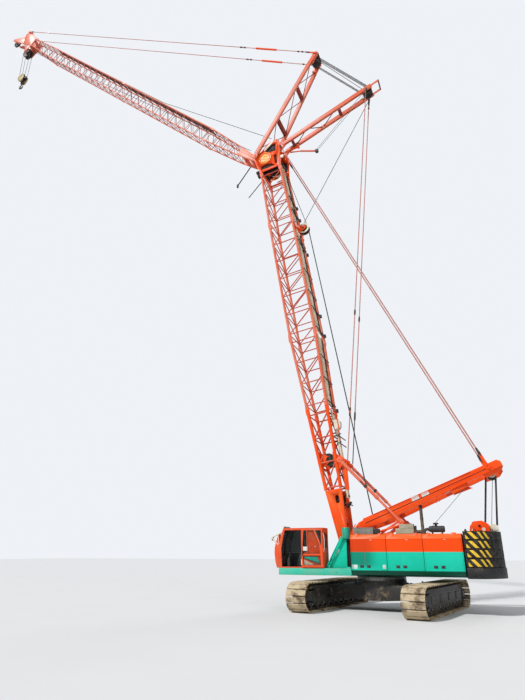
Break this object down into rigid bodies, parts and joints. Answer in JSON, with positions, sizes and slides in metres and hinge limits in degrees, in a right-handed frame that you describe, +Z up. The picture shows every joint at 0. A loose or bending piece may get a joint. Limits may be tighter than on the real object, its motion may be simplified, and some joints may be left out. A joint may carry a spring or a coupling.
{
  "type": "1:2 scale crawler crane with luffing jib",
  "caption": "Crawler crane at half size: lattice boom with luffing jib, struts and live mast over a slewing machine house with cab and stacked counterweight on two tracks.",
  "frame": {"origin": "slewing axis at ground level", "axes": "+X forward along the boom's side of the upper works, +Y to the machine's left, where the cab is, +Z up"},
  "size_m": [19.5288, 4.0464, 25.5291],
  "materials": {
    "track_steel": "rough",
    "frame_dark": "satin",
    "ring_steel": "machined",
    "green_paint": "gloss",
    "orange_paint": "gloss",
    "winch_paint": "satin",
    "gear_grey": "satin",
    "engine_grey": "satin",
    "cab_glass": "clear",
    "seat_fabric": "matt",
    "weight_base": "matt",
    "weight_yellow": "satin",
    "sheave_steel": "satin",
    "pendant_rope": "matt",
    "fall_rope": "matt",
    "hook_yellow": "satin"
  },
  "bodies": {
    "undercarriage": {"car_body": "frame_dark", "slew_ring": "ring_steel", "track_frame_left": "frame_dark", "track_frame_right": "frame_dark", "track_left": "track_steel", "track_right": "track_steel", "end_wheels_left": "track_steel", "end_wheels_right": "track_steel"},
    "upper_works": {"upper_frame": "green_paint", "side_deck": "green_paint", "house_left": "orange_paint", "house_right": "orange_paint", "roof_gear": "gear_grey", "engine": "engine_grey", "cab": "orange_paint", "cab_glass": "cab_glass", "cab_seat": "seat_fabric", "counterweight_base": "weight_base", "counterweight_slabs": "weight_yellow", "spreader": "orange_paint", "jack_left": "green_paint", "jack_right": "green_paint", "stop_frame": "orange_paint"},
    "front_winch": {"winch_front": "winch_paint"},
    "rear_winch": {"winch_rear": "winch_paint"},
    "left_door_1": {"door_left_1": "green_paint"},
    "left_door_2": {"door_left_2": "green_paint"},
    "left_door_3": {"door_left_3": "green_paint"},
    "right_door_1": {"door_right_1": "green_paint"},
    "right_door_2": {"door_right_2": "green_paint"},
    "right_door_3": {"door_right_3": "green_paint"},
    "cab_door": {"cab_door": "orange_paint"},
    "mast": {"mast": "orange_paint"},
    "mast_sheaves": {"mast_sheaves": "sheave_steel"},
    "boom": {"boom_foot": "orange_paint", "boom_taper": "orange_paint", "boom_middle": "orange_paint", "boom_upper": "orange_paint", "boom_head": "orange_paint", "guide_sheave": "orange_paint", "rear_strut": "orange_paint", "boom_pendants": "pendant_rope", "boom_walkway": "frame_dark", "rear_stays": "pendant_rope", "guide_ropes": "fall_rope"},
    "boom_head_sheaves": {"boom_head_sheaves": "sheave_steel"},
    "jib_winch": {"jib_winch": "winch_paint"},
    "left_backstop": {"backstop_left": "orange_paint"},
    "right_backstop": {"backstop_right": "orange_paint"},
    "jib": {"jib_foot": "orange_paint", "jib_middle": "orange_paint", "jib_upper": "orange_paint", "jib_head": "orange_paint", "jib_pendants": "pendant_rope", "jib_walkway": "frame_dark"},
    "front_sheave": {"jib_sheave_front": "sheave_steel"},
    "low_sheave": {"jib_sheave_low": "sheave_steel"},
    "front_strut": {"front_strut": "orange_paint"},
    "hook": {"hook_falls": "fall_rope", "hook_block": "hook_yellow"}
  },
  "joints": [
    {"name": "slewing", "type": "hinge", "parent": "undercarriage", "child": "upper_works", "pos_m": [0, 0, 0.652], "axis": [0, 0, 1], "continuous": true},
    {"name": "boom_luffing", "type": "hinge", "parent": "upper_works", "child": "boom", "pos_m": [0.725, 0, 1.225], "axis": [0, 1, 0], "range_deg": [0, 16]},
    {"name": "mast", "type": "hinge", "parent": "upper_works", "child": "mast", "pos_m": [0.725, 0, 1.225], "axis": [0, 1, 0], "range_deg": [0, 16]},
    {"name": "mast_sheaves", "type": "hinge", "parent": "mast", "child": "mast_sheaves", "pos_m": [-2.61457, 0, 2.81525], "axis": [0, 1, 0], "continuous": true},
    {"name": "jib_luffing", "type": "hinge", "parent": "boom", "child": "jib", "pos_m": [2.97378, 0, 13.20196], "axis": [0, 1, 0], "range_deg": [-15, 28]},
    {"name": "front_strut", "type": "hinge", "parent": "boom", "child": "front_strut", "pos_m": [2.97378, 0, 13.20196], "axis": [0, 1, 0], "range_deg": [-15, 28]},
    {"name": "left_backstop", "type": "hinge", "parent": "boom", "child": "left_backstop", "pos_m": [0.69035, 0, 3.26937], "axis": [0, 1, 0], "range_deg": [0, 8]},
    {"name": "right_backstop", "type": "hinge", "parent": "boom", "child": "right_backstop", "pos_m": [0.69035, 0, 3.26937], "axis": [0, 1, 0], "range_deg": [0, 8]},
    {"name": "boom_head_sheaves", "type": "hinge", "parent": "boom", "child": "boom_head_sheaves", "pos_m": [2.48624, 0, 12.9941], "axis": [0, 1, 0], "continuous": true},
    {"name": "jib_winch", "type": "hinge", "parent": "boom", "child": "jib_winch", "pos_m": [1.05392, 0, 3.34969], "axis": [0, 1, 0], "continuous": true},
    {"name": "jib_front_sheave", "type": "hinge", "parent": "jib", "child": "front_sheave", "pos_m": [16.45555, 0, 25.32904], "axis": [0, 1, 0], "continuous": true},
    {"name": "jib_low_sheave", "type": "hinge", "parent": "jib", "child": "low_sheave", "pos_m": [15.52091, 0, 24.17641], "axis": [0, 1, 0], "continuous": true},
    {"name": "hook_swing", "type": "hinge", "parent": "jib", "child": "hook", "pos_m": [15.52091, 0, 24.17641], "axis": [0, 1, 0], "range_deg": [-15, 35]},
    {"name": "front_winch", "type": "hinge", "parent": "upper_works", "child": "front_winch", "pos_m": [0.13, 0, 0.983], "axis": [0, 1, 0], "continuous": true},
    {"name": "rear_winch", "type": "hinge", "parent": "upper_works", "child": "rear_winch", "pos_m": [-0.62, 0, 0.983], "axis": [0, 1, 0], "continuous": true},
    {"name": "cab_door", "type": "slide", "parent": "upper_works", "child": "cab_door", "axis": [1, 0, 0], "range_m": [0, 0.5]},
    {"name": "left_door_1", "type": "hinge", "parent": "upper_works", "child": "left_door_1", "pos_m": [0, 0.735, 1.572], "axis": [1, 0, 0], "range_deg": [0, 75]},
    {"name": "left_door_2", "type": "hinge", "parent": "upper_works", "child": "left_door_2", "pos_m": [0, 0.735, 1.572], "axis": [1, 0, 0], "range_deg": [0, 75]},
    {"name": "left_door_3", "type": "hinge", "parent": "upper_works", "child": "left_door_3", "pos_m": [0, 0.735, 1.572], "axis": [1, 0, 0], "range_deg": [0, 75]},
    {"name": "right_door_1", "type": "hinge", "parent": "upper_works", "child": "right_door_1", "pos_m": [0, -0.735, 1.572], "axis": [-1, 0, 0], "range_deg": [0, 75]},
    {"name": "right_door_2", "type": "hinge", "parent": "upper_works", "child": "right_door_2", "pos_m": [0, -0.735, 1.572], "axis": [-1, 0, 0], "range_deg": [0, 75]},
    {"name": "right_door_3", "type": "hinge", "parent": "upper_works", "child": "right_door_3", "pos_m": [0, -0.735, 1.572], "axis": [-1, 0, 0], "range_deg": [0, 75]}
  ],
  "couplings": [
    {"joint": "mast", "follows": "boom_luffing", "ratio": 1},
    {"joint": "front_strut", "follows": "jib_luffing", "ratio": 1}
  ]
}
